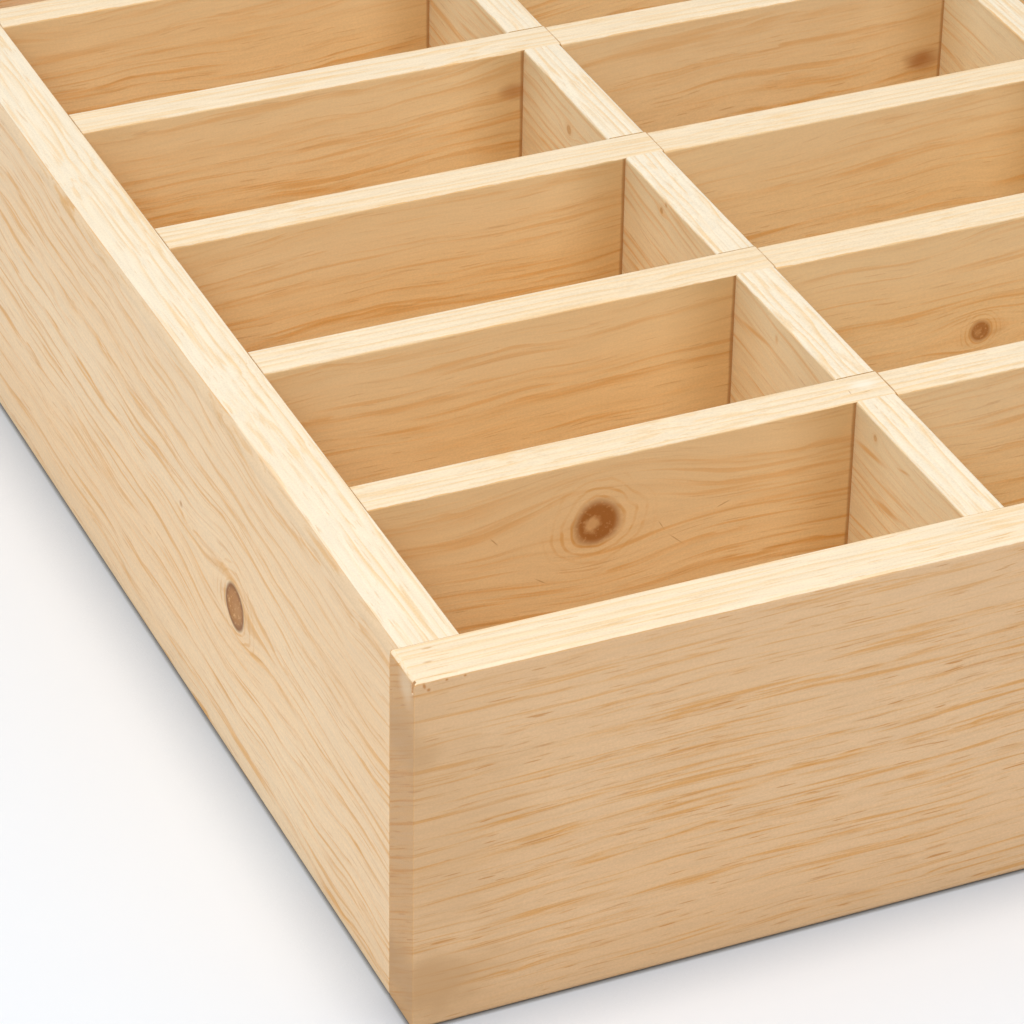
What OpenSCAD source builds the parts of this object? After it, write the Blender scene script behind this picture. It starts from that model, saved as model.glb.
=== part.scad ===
// Pine compartment tray: four case boards round a captured bottom panel,
// with two partitions running front to back and short dividers lapped into them.
// The origin is the middle of the underside, with the front towards -Y.

/* [Case] */
// Height of the case boards
case_h = 104; // [80:1:160]
// Thickness of the left and right sides
side_t = 18; // [14:0.5:24]
// Thickness of the front and back boards
end_t = 15; // [14:0.5:24]
// Rounding of the top edges of the case boards
case_ease_r = 1; // [0.4:0.1:3]
// Rounding of the upright outer edges of the front and back boards
corner_ease_r = 1.5; // [0.4:0.1:4]

/* [Compartments] */
// Clear width of the left and right columns
outer_col_w = 135.5; // [90:0.5:200]
// Clear width of the middle column
middle_col_w = 127; // [90:0.5:200]
// Clear depth of a row, front to back
row_d = 58.5; // [40:0.5:100]
// Number of rows
row_count = 6; // [3:1:8]

/* [Divider grid] */
// Thickness of the partitions that run front to back
partition_t = 11.5; // [8:0.5:16]
// Thickness of the dividers that run left to right
divider_t = 12; // [8:0.5:16]
// Rounding of the top edges of partitions and dividers
grid_ease_r = 0.6; // [0.3:0.1:2]
// Depth of the notch that takes a divider's tongue
lap_h = 46; // [25:1:55]
// Gap under a tongue in its notch
lap_play = 0.2; // [0.1:0.05:0.8]
// Gap behind a tongue in its notch
seam_gap = 0.4; // [0.2:0.05:0.9]
// Gap at the butted end of a divider or partition
butt_gap = 0.4; // [0.2:0.05:0.9]
// How far the middle dividers stand forward of the outer ones
middle_lead = 0.6; // [0:0.1:3]

/* [Bottom panel] */
// Height of the panel's underside above the table
floor_lift = 6; // [3:0.5:12]
// Thickness of the panel
floor_t = 5; // [3:0.5:9]
// Depth of the groove that holds the panel
groove_d = 6; // [4:0.5:8]
// Gap above the panel in its groove
groove_play = 0.3; // [0.1:0.05:0.8]
// Gap between the panel's edge and the end of its groove
panel_play = 0.8; // [0.2:0.1:2]

/* [Corner dowels] */
// Radius of a dowel
dowel_r = 4; // [3:0.5:5]
// Length of a dowel
dowel_len = 32; // [24:1:50]
// Depth of a dowel in the front or back board
dowel_in_end = 10; // [7:0.5:12]
// Chamfer at the ends of a dowel
dowel_chamfer = 0.8; // [0.3:0.1:2]
// Gap round a dowel
dowel_play = 0.05; // [0.02:0.01:0.2]
// Gap at the ends of a dowel
dowel_end_play = 0.5; // [0.2:0.1:1.5]
// Height of the low dowel above the panel, and depth of the high one below the top
dowel_inset = 22; // [16:1:30]

/* [Hidden] */
$fn = 48;
// How far a cut reaches past the face that it opens
over = 1;
col_count = 3;
columns = ["left", "middle", "right"];
col_widths = [outer_col_w, middle_col_w, outer_col_w];
inner_w = 2 * outer_col_w + middle_col_w + 2 * partition_t;
inner_d = row_count * row_d + (row_count - 1) * divider_t;
case_w = inner_w + 2 * side_t;
case_d = inner_d + 2 * end_t;
floor_top = floor_lift + floor_t;
grid_h = case_h - floor_top;
groove_h = floor_t + groove_play;
dowel_x = case_w / 2 - side_t / 2;
dowel_heights = [floor_top + dowel_inset, case_h - dowel_inset];
dowel_in_side = dowel_len - dowel_in_end;

pine = [0.91, 0.80, 0.63];
pine_front = [0.85, 0.70, 0.51];
pine_grid = [0.88, 0.74, 0.54];
pine_partition = [0.93, 0.82, 0.65];
plywood = [0.86, 0.74, 0.56];
beech = [0.82, 0.66, 0.48];

function column_x(c) = -inner_w / 2 + c * partition_t + (c > 0 ? outer_col_w : 0) + (c > 1 ? middle_col_w : 0);
function column_end(c) = column_x(c) + col_widths[c];
function divider_y(c, r) = -inner_d / 2 + r * divider_t + (r + 1) * row_d - (c == 1 ? middle_lead : 0);
function divider_name(c, r) = str(columns[c], "_divider_", r + 1);

// The corner of a square that a rounded edge leaves over
module edge_waste(r) {
    difference() {
        square(r + over);
        circle(r);
    }
}

// Section of a board on edge, with its two top edges rounded
module board_section(t, h, r) {
    difference() {
        square([t, h]);
        translate([t - r, h - r])
            edge_waste(r);
        translate([r, h - r])
            mirror([1, 0])
                edge_waste(r);
    }
}

// A section drawn in X and Z, run along Y
module along_y(from, length) {
    translate([0, from + length, 0])
        rotate([90, 0, 0])
            linear_extrude(length)
                children();
}

// A section drawn in Y and Z, run along X
module along_x(from, length) {
    translate([from, 0, 0])
        rotate([90, 0, 90])
            linear_extrude(length)
                children();
}

// Blind bores for the two dowels of one corner, drilled along Y from a face at the given place
module dowel_bores(x, y, depth, towards) {
    for (z = dowel_heights)
        translate([x, y - towards * over, z])
            rotate([-towards * 90, 0, 0])
                cylinder(r = dowel_r + dowel_play, h = depth + dowel_end_play + over);
}

// A side board, standing between the front and back boards
module side_board() {
    difference() {
        along_y(-inner_d / 2, inner_d)
            translate([-case_w / 2, 0])
                board_section(side_t, case_h, case_ease_r);
        translate([-inner_w / 2 - groove_d, -inner_d / 2 - over, floor_lift])
            cube([groove_d + over, inner_d + 2 * over, groove_h]);
        dowel_bores(-dowel_x, -inner_d / 2, dowel_in_side, 1);
        dowel_bores(-dowel_x, inner_d / 2, dowel_in_side, -1);
    }
}

// An end board, running the whole width and covering the ends of the sides
module end_board() {
    difference() {
        intersection() {
            along_x(-case_w / 2, case_w)
                translate([-case_d / 2, 0])
                    board_section(end_t, case_h, case_ease_r);
            linear_extrude(case_h)
                translate([-case_w / 2, -inner_d / 2])
                    mirror([0, 1])
                        board_section(case_w, end_t, corner_ease_r);
        }
        translate([-inner_w / 2 - groove_d, -inner_d / 2 - groove_d, floor_lift])
            cube([inner_w + 2 * groove_d, groove_d + over, groove_h]);
        for (x = [-dowel_x, dowel_x])
            dowel_bores(x, -inner_d / 2, dowel_in_end, -1);
    }
}

module left_side() {
    color(pine)
        side_board();
}

module right_side() {
    color(pine)
        mirror([1, 0, 0])
            side_board();
}

module front_board() {
    color(pine_front)
        end_board();
}

module back_board() {
    color(pine_front)
        mirror([0, 1, 0])
            end_board();
}

// Plywood panel that lies in the grooves of all four boards
module bottom_panel() {
    panel_w = inner_w + 2 * (groove_d - panel_play);
    panel_d = inner_d + 2 * (groove_d - panel_play);
    color(plywood)
        translate([-panel_w / 2, -panel_d / 2, floor_lift])
            cube([panel_w, panel_d, floor_t]);
}

// Partition to the right of a column, notched from above for each divider's tongue
module partition(c) {
    length = inner_d - 2 * butt_gap;
    color(pine_partition)
        difference() {
            along_y(-length / 2, length)
                translate([column_end(c), floor_top])
                    board_section(partition_t, grid_h, grid_ease_r);
            for (r = [0 : row_count - 2])
                translate([column_end(c) - over, divider_y(c, r), case_h - lap_h])
                    cube([partition_t + 2 * over, divider_t + seam_gap, lap_h + over]);
        }
}

module left_partition() {
    partition(0);
}

module right_partition() {
    partition(1);
}

// Divider of one column: its left end is butted, and its right end has a tongue that
// fills the notch of the next partition, flush with the far face
module divider(c, r) {
    start = column_x(c) + butt_gap;
    shoulder = column_end(c) - butt_gap;
    tongue = c < col_count - 1 ? partition_t + butt_gap : 0;
    color(pine_grid)
        difference() {
            along_x(start, shoulder + tongue - start)
                translate([divider_y(c, r), floor_top])
                    board_section(divider_t, grid_h, grid_ease_r);
            if (tongue > 0)
                translate([shoulder, divider_y(c, r) - over, floor_top - over])
                    cube([tongue + over, divider_t + 2 * over, grid_h - lap_h + lap_play + over]);
        }
}

// One dowel along +Y, chamfered at both ends
module dowel() {
    rotate([-90, 0, 0])
        rotate_extrude()
            polygon([
                [0, 0],
                [dowel_r - dowel_chamfer, 0],
                [dowel_r, dowel_chamfer],
                [dowel_r, dowel_len - dowel_chamfer],
                [dowel_r - dowel_chamfer, dowel_len],
                [0, dowel_len]
            ]);
}

// Hidden dowels that tie the sides to the front and back boards
module corner_dowels() {
    color(beech)
        for (x = [-dowel_x, dowel_x])
            for (z = dowel_heights)
                for (y = [-inner_d / 2 - dowel_in_end, inner_d / 2 - dowel_in_side])
                    translate([x, y, z])
                        dowel();
}

left_side();
right_side();
front_board();
back_board();
bottom_panel();
left_partition();
right_partition();
for (c = [0 : col_count - 1])
    for (r = [0 : row_count - 2])
        divider(c, r);
corner_dowels();
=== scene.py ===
import math

import bpy
from mathutils import Matrix, Vector, noise


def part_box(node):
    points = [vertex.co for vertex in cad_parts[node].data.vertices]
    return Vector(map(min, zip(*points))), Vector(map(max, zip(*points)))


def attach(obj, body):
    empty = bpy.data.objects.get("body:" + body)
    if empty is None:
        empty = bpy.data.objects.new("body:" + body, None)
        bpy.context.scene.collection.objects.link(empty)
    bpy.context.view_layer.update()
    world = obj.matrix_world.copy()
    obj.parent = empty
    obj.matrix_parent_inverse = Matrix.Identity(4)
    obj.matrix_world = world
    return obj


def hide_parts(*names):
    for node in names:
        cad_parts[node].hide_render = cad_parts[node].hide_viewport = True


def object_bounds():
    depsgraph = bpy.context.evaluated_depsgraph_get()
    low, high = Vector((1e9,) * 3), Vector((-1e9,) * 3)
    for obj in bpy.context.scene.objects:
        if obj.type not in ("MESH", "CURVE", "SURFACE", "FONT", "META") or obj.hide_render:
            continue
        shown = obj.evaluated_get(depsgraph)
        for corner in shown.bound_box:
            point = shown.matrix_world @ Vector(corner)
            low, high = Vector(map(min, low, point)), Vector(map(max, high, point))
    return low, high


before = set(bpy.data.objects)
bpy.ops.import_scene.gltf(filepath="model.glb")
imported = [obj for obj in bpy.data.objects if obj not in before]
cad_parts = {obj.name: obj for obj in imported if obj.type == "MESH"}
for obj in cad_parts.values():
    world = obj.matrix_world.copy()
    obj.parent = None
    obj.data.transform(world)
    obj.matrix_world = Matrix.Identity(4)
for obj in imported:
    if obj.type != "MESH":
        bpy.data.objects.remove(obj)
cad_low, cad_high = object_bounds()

MM = 0.001
ROWS = range(1, 6)
COLUMNS = ("left", "middle", "right")
DIVIDERS = [f"{column}_divider_{row}" for column in COLUMNS for row in ROWS]
BOARDS_ALONG_Y = ("left_side", "right_side", "left_partition", "right_partition")
BOARDS_ALONG_X = ("front_board", "back_board", *DIVIDERS)

# Joinery, as the solids have it
GROOVE_DEPTH = 6 * MM
GROOVE_HEIGHT = 5.3 * MM
LAP_DEPTH = 46 * MM
LAP_PLAY = 0.2 * MM
BUTT_GAP = 0.4 * MM
BUTT_FIT = 0.03 * MM
SEAM_FIT = 0.03 * MM
CUT_OVER = 2 * MM
DOWEL_RADIUS = 4 * MM
DOWEL_LENGTH = 32 * MM
BORE_PLAY = 0.05 * MM
BORE_END_PLAY = 0.5 * MM
BORE_SIDES = 32
PANEL_PLAY = 0.8 * MM
NICK_BACK = 0.5 * MM
NICK_WIDTH = 1.0 * MM
NICK_DEPTH = 0.8 * MM
NICK_HEIGHT = 3.6 * MM

# Sides of a board, as an axis and a direction along it
TOP = (2, 1)
FOOT = (2, -1)

# Hand-eased edges: a pair is a width and how far it swings
STATION = 8 * MM
WIDEST_EASE = 6 * MM
THINNEST_WAVER = 0.15 * MM
EASE_SEGMENTS = 4
EASE_WAVES = 38
EASE_NEAR = 0.05 * MM
GRID_TOP_EASE = (0.8 * MM, 0.75 * MM)
GRID_EASE = 0.5 * MM
TONGUE_EASE = 0.12 * MM
SIDE_EASE = 2.7 * MM
SIDE_TOP_EASE = (SIDE_EASE, 1.0 * MM)
SIDE_INNER_EASE = (0.3 * MM, 0.2 * MM)
END_TOP_EASE = (1.2 * MM, 0.6 * MM)
END_INNER_EASE = (0.2 * MM, 0.1 * MM)
END_UPRIGHT_EASE = (0.4 * MM, 0.25 * MM)
END_TIP_EASE = 1.5 * MM
TIGHT_EASE = 0.03 * MM
FOOT_EASE = 1.6 * MM
HIDDEN_EASE = 0.35 * MM
EASE_SEEDS = {"left_side": 21, "right_side": 37, "front_board": 51, "back_board": 67,
              "left_partition": 81, "right_partition": 95}
DIVIDER_SEED = 100
SEEDS_PER_ROW = 7
SEEDS_PER_COLUMN = 31
FACET_MIDDLE = -118 * MM
FACET_REACH = 24 * MM
FACET_WIDTH = 2.8 * MM
SHARPEST_BEND = math.radians(40)
FLAT_FACE_WEIGHT = 80


# Boards

def deselect():
    bpy.ops.object.select_all(action="DESELECT")


def add_box(name, low, high):
    """A box from corner to corner, with its place in its mesh."""
    deselect()
    bpy.ops.mesh.primitive_cube_add(size=1, location=(low + high) / 2)
    piece = bpy.context.object
    piece.name = name
    piece.data.name = name
    piece.scale = high - low
    bpy.ops.object.transform_apply(location=True, rotation=False, scale=True)
    return piece


def apply_all(piece):
    bpy.context.view_layer.objects.active = piece
    for modifier in list(piece.modifiers):
        bpy.ops.object.modifier_apply(modifier=modifier.name)


def add_stations(piece, axis, length):
    """Cuts a board into short lengths, so that its edges can waver along the grain."""
    bpy.ops.object.mode_set(mode="EDIT")
    bpy.ops.mesh.select_mode(type="EDGE")
    bpy.ops.mesh.select_all(action="DESELECT")
    bpy.ops.object.mode_set(mode="OBJECT")
    mesh = piece.data
    nearly_whole = 0.9 * length
    for edge in mesh.edges:
        a, b = (mesh.vertices[i].co for i in edge.vertices)
        edge.select = abs((b - a)[axis]) > nearly_whole
    bpy.ops.object.mode_set(mode="EDIT")
    bpy.ops.mesh.subdivide(number_cuts=round(length / STATION))
    bpy.ops.object.mode_set(mode="OBJECT")


def add_station_at(piece, axis, place):
    """Cuts a board's faces across at one more place."""
    bpy.context.view_layer.objects.active = piece
    normal = [0, 0, 0]
    normal[axis] = 1
    point = [0, 0, 0]
    point[axis] = place
    bpy.ops.object.mode_set(mode="EDIT")
    bpy.ops.mesh.select_all(action="SELECT")
    bpy.ops.mesh.bisect(plane_co=point, plane_no=normal)
    bpy.ops.object.mode_set(mode="OBJECT")


def take_away(piece, tool):
    """Cuts the shape of a tool out of a board, and puts the tool away."""
    recess = piece.modifiers.new("recess", "BOOLEAN")
    recess.operation = "DIFFERENCE"
    recess.solver = "EXACT"
    recess.object = tool
    apply_all(piece)
    bpy.data.objects.remove(tool)


def saw(piece, low, high):
    """Saws a box-shaped recess out of a board."""
    take_away(piece, add_box("saw", low, high))


def drill(piece, end_side):
    """Drills the blind bores of the two corners at one end, for the dowels."""
    dowel_low, dowel_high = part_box("corner_dowels")
    middle = dowel_low.y + DOWEL_LENGTH / 2 if end_side < 0 else dowel_high.y - DOWEL_LENGTH / 2
    piece_low, piece_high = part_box(piece.name.removeprefix("pine_"))
    for x in (dowel_low.x + DOWEL_RADIUS, dowel_high.x - DOWEL_RADIUS):
        if not piece_low.x < x < piece_high.x:
            continue
        for z in (dowel_low.z + DOWEL_RADIUS, dowel_high.z - DOWEL_RADIUS):
            deselect()
            bpy.ops.mesh.primitive_cylinder_add(
                vertices=BORE_SIDES,
                radius=DOWEL_RADIUS + BORE_PLAY,
                depth=DOWEL_LENGTH + 2 * BORE_END_PLAY,
                location=(x, middle, z),
                rotation=(math.pi / 2, 0, 0),
            )
            take_away(piece, bpy.context.object)


def ease_edges(piece, low, high, ease_of):
    """Rounds the outer edges of a board by hand: wider here, narrower there."""
    mesh = piece.data
    weights = mesh.attributes.new("bevel_weight_edge", "FLOAT", "EDGE")
    for edge in mesh.edges:
        a, b = (mesh.vertices[i].co for i in edge.vertices)
        sides = []
        for k in range(3):
            if max(abs(a[k] - low[k]), abs(b[k] - low[k])) < EASE_NEAR:
                sides.append((k, -1))
            if max(abs(a[k] - high[k]), abs(b[k] - high[k])) < EASE_NEAR:
                sides.append((k, 1))
        if len(sides) == 2:
            width = ease_of(frozenset(sides), (a + b) / 2)
            weights.data[edge.index].value = min(1, width / WIDEST_EASE)
    easing = piece.modifiers.new("easing", "BEVEL")
    easing.limit_method = "WEIGHT"
    easing.width = WIDEST_EASE
    easing.segments = EASE_SEGMENTS
    easing.use_clamp_overlap = False
    apply_all(piece)


def smooth(piece):
    """Shades the eased edges round and the faces flat."""
    deselect()
    piece.select_set(True)
    bpy.context.view_layer.objects.active = piece
    bpy.ops.object.shade_smooth_by_angle(angle=SHARPEST_BEND)
    shading = piece.modifiers.new("shading", "WEIGHTED_NORMAL")
    shading.weight = FLAT_FACE_WEIGHT
    shading.keep_sharp = True
    apply_all(piece)


def wavering(middle, swing, seed):
    """An edge width that wanders along the board."""
    def width(place):
        drift = noise.noise(Vector((place.x, place.y, seed)) * EASE_WAVES)
        ripple = noise.noise(Vector((place.y, place.x, seed + 9)) * 3 * EASE_WAVES)
        return max(THINNEST_WAVER, middle + swing * (drift + 0.5 * ripple))
    return width


def grid_ease(seed, across, shoulder=None):
    """Edges of a partition or a divider. A tongue stays square, past its shoulder."""
    top = wavering(*GRID_TOP_EASE, seed)

    def ease_of(sides, place):
        if shoulder is not None and place.x > shoulder:
            return TONGUE_EASE
        if TOP in sides and any(k == across for k, _ in sides):
            return top(place)
        if TOP in sides:
            return TONGUE_EASE
        return GRID_EASE
    return ease_of


def side_ease(seed, outer):
    """Edges of a side. The left side's outer arris has a facet planed along it."""
    top_outer = wavering(*SIDE_TOP_EASE, seed)
    top_inner = wavering(*SIDE_INNER_EASE, seed + 3)

    def ease_of(sides, place):
        if sides == {TOP, (0, outer)}:
            off = (place.y - FACET_MIDDLE) / FACET_REACH
            planed = max(0, 1 - off ** 2) if outer < 0 else 0
            return top_outer(place) + FACET_WIDTH * planed
        if TOP in sides and any(k == 0 for k, _ in sides):
            return top_inner(place)
        if TOP in sides:
            return TIGHT_EASE
        if FOOT in sides:
            return FOOT_EASE
        return HIDDEN_EASE
    return ease_of


def end_ease(seed, outer):
    """Edges of the front or back. They stay sharp where the sides' ends meet them."""
    top_outer = wavering(*END_TOP_EASE, seed)
    top_inner = wavering(*END_INNER_EASE, seed + 3)
    upright = wavering(*END_UPRIGHT_EASE, seed + 5)
    side_face = abs(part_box("left_side")[1].x)

    def ease_of(sides, place):
        if sides == {TOP, (1, outer)}:
            return top_outer(place)
        if TOP in sides and any(k == 1 for k, _ in sides):
            return TIGHT_EASE if abs(place.x) > side_face else top_inner(place)
        if (1, outer) in sides and any(k == 0 for k, _ in sides):
            return upright(place)
        if TOP in sides:
            return END_TIP_EASE
        if FOOT in sides:
            return FOOT_EASE
        return HIDDEN_EASE
    return ease_of


def finish_board(piece, node, material):
    smooth(piece)
    piece.data.materials.clear()
    piece.data.materials.append(material)
    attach(piece, "root")
    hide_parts(node)


def side_board(node, inner):
    """A side: a groove for the bottom panel runs along its inner face."""
    low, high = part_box(node)
    piece = add_box(f"pine_{node}", low, high)
    add_stations(piece, 1, high.y - low.y)
    panel_low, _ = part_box("bottom_panel")
    face = high.x if inner > 0 else low.x
    groove_x = sorted((face - inner * GROOVE_DEPTH, face + inner * CUT_OVER))
    saw(
        piece,
        Vector((groove_x[0], low.y - CUT_OVER, panel_low.z)),
        Vector((groove_x[1], high.y + CUT_OVER, panel_low.z + GROOVE_HEIGHT)),
    )
    ease_edges(piece, low, high, side_ease(EASE_SEEDS[node], -inner))
    drill(piece, -1)
    drill(piece, 1)
    return piece


def end_board(node, inner):
    """The front or back: its groove stops short of both ends, so it stays hidden."""
    low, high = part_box(node)
    piece = add_box(f"pine_{node}", low, high)
    add_stations(piece, 0, high.x - low.x)
    panel_low, panel_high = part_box("bottom_panel")
    face = high.y if inner > 0 else low.y
    groove_y = sorted((face - inner * GROOVE_DEPTH, face + inner * CUT_OVER))
    saw(
        piece,
        Vector((panel_low.x - PANEL_PLAY, groove_y[0], panel_low.z)),
        Vector((panel_high.x + PANEL_PLAY, groove_y[1], panel_low.z + GROOVE_HEIGHT)),
    )
    ease_edges(piece, low, high, end_ease(EASE_SEEDS[node], -inner))
    drill(piece, -inner)
    return piece


def nick_corner(piece):
    """A splinter is missing from the front board's near corner, down from its top."""
    low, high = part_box("front_board")
    place = Vector((low.x, low.y + NICK_BACK, high.z - NICK_HEIGHT))
    saw(
        piece,
        place - Vector((CUT_OVER, 0, 0)),
        place + Vector((NICK_DEPTH, NICK_WIDTH, NICK_HEIGHT + CUT_OVER)),
    )


def partition(node, column):
    """A partition: notched from above for the tongue of each divider on its left."""
    low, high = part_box(node)
    low.y -= BUTT_GAP - BUTT_FIT
    high.y += BUTT_GAP - BUTT_FIT
    piece = add_box(f"pine_{node}", low, high)
    add_stations(piece, 1, high.y - low.y)
    for row in ROWS:
        divider_low, divider_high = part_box(f"{column}_divider_{row}")
        saw(
            piece,
            Vector((low.x - CUT_OVER, divider_low.y, high.z - LAP_DEPTH)),
            Vector((high.x + CUT_OVER, divider_high.y + SEAM_FIT, high.z + CUT_OVER)),
        )
    ease_edges(piece, low, high, grid_ease(EASE_SEEDS[node], 0))
    return piece


def divider(column, row):
    """A divider: cut away under its right end, which leaves the tongue of the lap joint."""
    node = f"{column}_divider_{row}"
    low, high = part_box(node)
    low.x -= BUTT_GAP - BUTT_FIT
    piece = add_box(f"pine_{node}", low, high)
    add_stations(piece, 0, high.x - low.x)
    shoulder = None
    if column != "right":
        partition_low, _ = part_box("left_partition" if column == "left" else "right_partition")
        shoulder = partition_low.x - BUTT_GAP
        add_station_at(piece, 0, shoulder)
        saw(
            piece,
            Vector((shoulder, low.y - CUT_OVER, low.z - CUT_OVER)),
            Vector((high.x + CUT_OVER, high.y + CUT_OVER, high.z - LAP_DEPTH + LAP_PLAY)),
        )
    seed = DIVIDER_SEED + SEEDS_PER_ROW * row + SEEDS_PER_COLUMN * COLUMNS.index(column)
    ease_edges(piece, low, high, grid_ease(seed, 1, shoulder))
    return piece


# Materials

class Nodes:
    """Adds the nodes of a material or a world, and links them."""

    def __init__(self, owner):
        owner.use_nodes = True
        self.tree = owner.node_tree
        self.tree.nodes.clear()

    def node(self, kind, settings=None, **sockets):
        made = self.tree.nodes.new(kind)
        for key, value in (settings or {}).items():
            setattr(made, key, value)
        for key, value in sockets.items():
            self.feed(made.inputs[key], value)
        return made

    def feed(self, socket, value):
        if isinstance(value, bpy.types.NodeSocket):
            self.tree.links.new(value, socket)
        elif value is not None:
            socket.default_value = value

    def math(self, operation, a, b=None, c=None):
        made = self.node("ShaderNodeMath", {"operation": operation})
        for socket, value in zip(made.inputs, (a, b, c)):
            self.feed(socket, value)
        return made.outputs[0]

    def vector(self, operation, a, b=None, c=None):
        made = self.node("ShaderNodeVectorMath", {"operation": operation})
        for socket, value in zip(made.inputs, (a, b, c)):
            self.feed(socket, value)
        return made.outputs["Value" if operation == "LENGTH" else "Vector"]

    def combine(self, x, y, z):
        made = self.node("ShaderNodeCombineXYZ")
        for socket, value in zip(made.inputs, (x, y, z)):
            self.feed(socket, value)
        return made.outputs[0]

    def separate(self, vector):
        made = self.node("ShaderNodeSeparateXYZ")
        self.feed(made.inputs[0], vector)
        return made.outputs[0], made.outputs[1], made.outputs[2]

    def noise(self, vector, detail=2.0, roughness=0.5):
        made = self.node("ShaderNodeTexNoise", Vector=vector, Scale=1.0, Detail=detail, Roughness=roughness)
        return made.outputs[0]

    def remap(self, value, from_low, from_high, to_low=0.0, to_high=1.0):
        made = self.node("ShaderNodeMapRange", {"interpolation_type": "SMOOTHSTEP"})
        for socket, number in zip(made.inputs, (value, from_low, from_high, to_low, to_high)):
            self.feed(socket, number)
        return made.outputs[0]

    def ramp(self, value, stops):
        made = self.node("ShaderNodeValToRGB")
        self.feed(made.inputs[0], value)
        elements = made.color_ramp.elements
        while len(elements) < len(stops):
            elements.new(0.5)
        for element, (place, level) in zip(elements, stops):
            element.position = place
            element.color = (level, level, level, 1)
        return made.outputs[0]

    def mix(self, share, a, b, blend="MIX"):
        made = self.node("ShaderNodeMix", {"data_type": "RGBA", "blend_type": blend})
        self.feed(made.inputs[0], share)
        self.feed(made.inputs[6], (*a, 1) if isinstance(a, tuple) else a)
        self.feed(made.inputs[7], (*b, 1) if isinstance(b, tuple) else b)
        return made.outputs[2]


class Shade(Nodes):
    """The nodes of one material."""

    def __init__(self, name):
        self.material = bpy.data.materials.new(name)
        super().__init__(self.material)

    def surface(self, colour, roughness, normal, specular):
        shader = self.node("ShaderNodeBsdfPrincipled")
        self.feed(shader.inputs["Base Color"], colour)
        self.feed(shader.inputs["Roughness"], roughness)
        self.feed(shader.inputs["Normal"], normal)
        self.feed(shader.inputs["Specular IOR Level"], specular)
        self.node("ShaderNodeOutputMaterial", Surface=shader.outputs[0])
        return self.material


# Pine

# Patterns in the wood: waves per metre along the grain and across it, each one's own place in the
# noise, and its detail. A board's break_up says how often the ring patches change along it
PATTERNS = {
    "sway": (4, 6, 0, 2.0),
    "wave": (12, 18, 5, 2.0),
    "ripple": (34, 60, 7, 2.0),
    "knot_outline": (75, 75, 11, 1.0),
    "stroke": (17, 560, 13, 2.0),
    "ring_rag": (60, 480, 15, 2.0),
    "ring_patches": (1, 110, 17, 2.0),
    "ring_breaks": (42, 700, 19, 2.0),
    "top_rag": (9, 260, 21, 2.0),
    "fibre": (70, 1100, 23, 3.0),
    "top_patches": (7, 300, 25, 2.0),
    "hair": (60, 1500, 27, 1.0),
    "dash": (80, 1150, 29, 1.0),
    "cloud": (6, 22, 31, 2.0),
    "speck": (1500, 2300, 33, 1.0),
    "stain_rag": (60, 90, 37, 2.0),
    "knot_speckle": (900, 900, 41, 2.0),
    "knot_rings": (180, 180, 43, 2.0),
    "glue_rag": (20, 160, 47, 2.0),
    "fringe": (30, 200, 51, 2.0),
    "knot_heart": (500, 500, 53, 2.0),
    "seam_breaks": (300, 300, 57, 2.0),
    "arris_rag": (180, 420, 61, 2.0),
}
# Noise levels between which a pattern comes up
LEVELS = {
    "ring_breaks": (0.38, 0.6),
    "ring_patches": (0.4, 0.6),
    "top_patches": (0.36, 0.58),
    "stroke": (0.55, 0.7),
    "hair": (0.62, 0.8),
    "dash": (0.71, 0.77),
    "cloud": (0.3, 0.7),
    "fringe": (0.4, 0.6),
    "seam_breaks": (0.3, 0.6),
    "knot_speckle": (0.54, 0.7),
}

# Noise levels of fibres and specks, and how light they make the wood
FIBRE_LIGHT = (0.25, 0.75, 0.955, 1.04)
SPECK_LIGHT = (0.2, 0.8, 0.955, 1.045)
# Shares of a board's sway that its waves and ripples have
WAVE_SHARE = 0.5
RIPPLE_SHARE = 0.1
# How far the grain flows round a knot, in its radii, and how closely
FLOW_LENGTH = 4.2
FLOW_HEIGHT = 2.5
FLOW_PULL = 0.9
# How unevenly the year rings lie, in waves per year and in years, and how faint they are at a break
UNEVEN_WAVES = 0.45
UNEVEN_YEARS = 1.8
RAGGED_YEARS = 0.3
FAINTEST_BREAK = 0.25
# Lines on the sanded tops
TOP_SPACING = 2.6 * MM
TOP_DRIFT = 0.18
TOP_RAG = 0.9
TOP_FAINTEST = 0.1
SIDE_PLAIN_BAND = (5 * MM, 9 * MM)
# How far a surface faces out to count as an end, an inner face or an arris with painted shade, and how far
# before a top its fringe begins, which is a painted shadow line. The end range is wide enough to reach over
# the eased upright edges, where the end tint is painted shade
END_AND_SHADED_EDGE_SLOPES = (0.2, 0.75)
INNER_SLOPES = (0.5, 0.9)
ARRIS_SHADE_SLOPES = (0.05, 0.45)
SHADOW_LINE_SLOPE = 0.25
SIDE_SHADOW_LINE_SLOPE = 0.04
SHADOW_LINE_STRENGTH = 0.55
# Heights between which the faces fade
FADE_HEIGHTS = (62 * MM, 102 * MM)
# Distances from a corner: where its painted shade begins and where it is full, and where its line of glue
# lies
CORNER_SHADE_REACH = (24 * MM, 2 * MM)
GLUE_REACH = (1.3 * MM, 0.5 * MM)
GLUE_RAG = 0.25 * MM
GLUE_STRENGTH = 0.75
BEFORE_CORNER = -1 * MM
# Where a stain fades and where it is full, in its half sizes
STAIN_REACH = (1.2, 0.2)
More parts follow.
